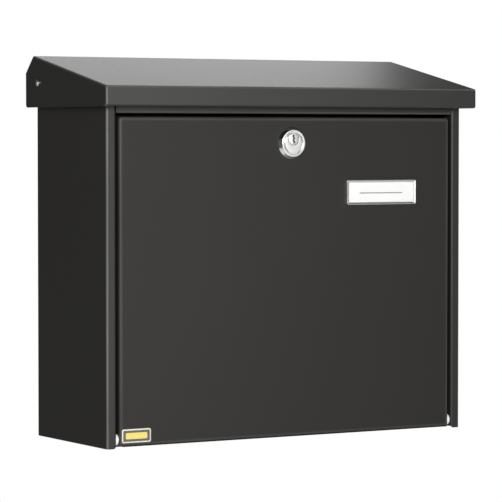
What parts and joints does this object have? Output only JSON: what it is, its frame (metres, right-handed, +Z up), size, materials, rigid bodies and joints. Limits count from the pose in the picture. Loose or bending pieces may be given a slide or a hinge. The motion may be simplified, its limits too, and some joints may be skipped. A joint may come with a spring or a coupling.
{
  "type": "wall mounted letterbox",
  "caption": "Sheet-steel wall letterbox with a sloping hinged lid over a letter slot, a bottom-hinged front door with a cam lock, and a name plate.",
  "frame": {"origin": "centre of the four wall screws, on the wall plane that the spacers' rear faces touch", "axes": "+X to the right as seen from the front, +Y into the wall, +Z up; the door faces -Y"},
  "size_m": [0.3652, 0.149, 0.3218],
  "materials": {
    "housing_coat": "fine-textured satin anthracite powder coat on sheet steel",
    "lid_coat": "satin anthracite powder coat on sheet steel",
    "door_coat": "satin anthracite powder coat on sheet steel",
    "rivet_aluminium": "plain",
    "spacer_plastic": "moulded black",
    "buffer_rubber": "soft black rubber",
    "pin_steel": "turned steel",
    "nylon_white": "white nylon",
    "spring_steel": "spring steel",
    "lock_chrome": "polished chrome plate",
    "plug_chrome": "satin chrome plate",
    "zinc_plate": "bright zinc plate",
    "name_frame_metal": "satin",
    "card_paper": "white card",
    "window_clear": "clear acrylic",
    "badge_black": "black plate with a pale rim and a plain gold bar"
  },
  "bodies": {
    "housing": {"body_wrap": "housing_coat", "floor_panel": "housing_coat", "front_header": "housing_coat", "mail_guard": "housing_coat", "guard_rivets": "rivet_aluminium", "wall_spacers": "spacer_plastic", "lid_buffers": "buffer_rubber", "lid_pin_left": "pin_steel", "lid_pin_right": "pin_steel", "lid_bushes": "nylon_white", "lid_pin_clips": "spring_steel", "door_pivot_left": "nylon_white", "door_pivot_right": "nylon_white"},
    "lid": {"lid_cover": "lid_coat"},
    "door": {"door_panel": "door_coat", "lock_body": "lock_chrome", "lock_nut": "zinc_plate", "name_frame": "name_frame_metal", "name_card": "card_paper", "name_window": "window_clear", "badge_plate": "badge_black"},
    "lock_cylinder": {"lock_plug": "plug_chrome", "stop_washer": "zinc_plate", "lock_cam": "zinc_plate", "cam_nut": "zinc_plate"}
  },
  "joints": [
    {"name": "lid_hinge", "type": "hinge", "parent": "housing", "child": "lid", "pos_m": [0, -0.025, 0.149], "axis": [-1, 0, 0], "range_deg": [0, 60]},
    {"name": "door_hinge", "type": "hinge", "parent": "housing", "child": "door", "pos_m": [0, -0.129, -0.143], "axis": [1, 0, 0], "range_deg": [0, 90]},
    {"name": "lock_turn", "type": "hinge", "parent": "door", "child": "lock_cylinder", "pos_m": [0.002, -0.135, 0.1019], "axis": [0, 1, 0], "range_deg": [0, 90]}
  ]
}
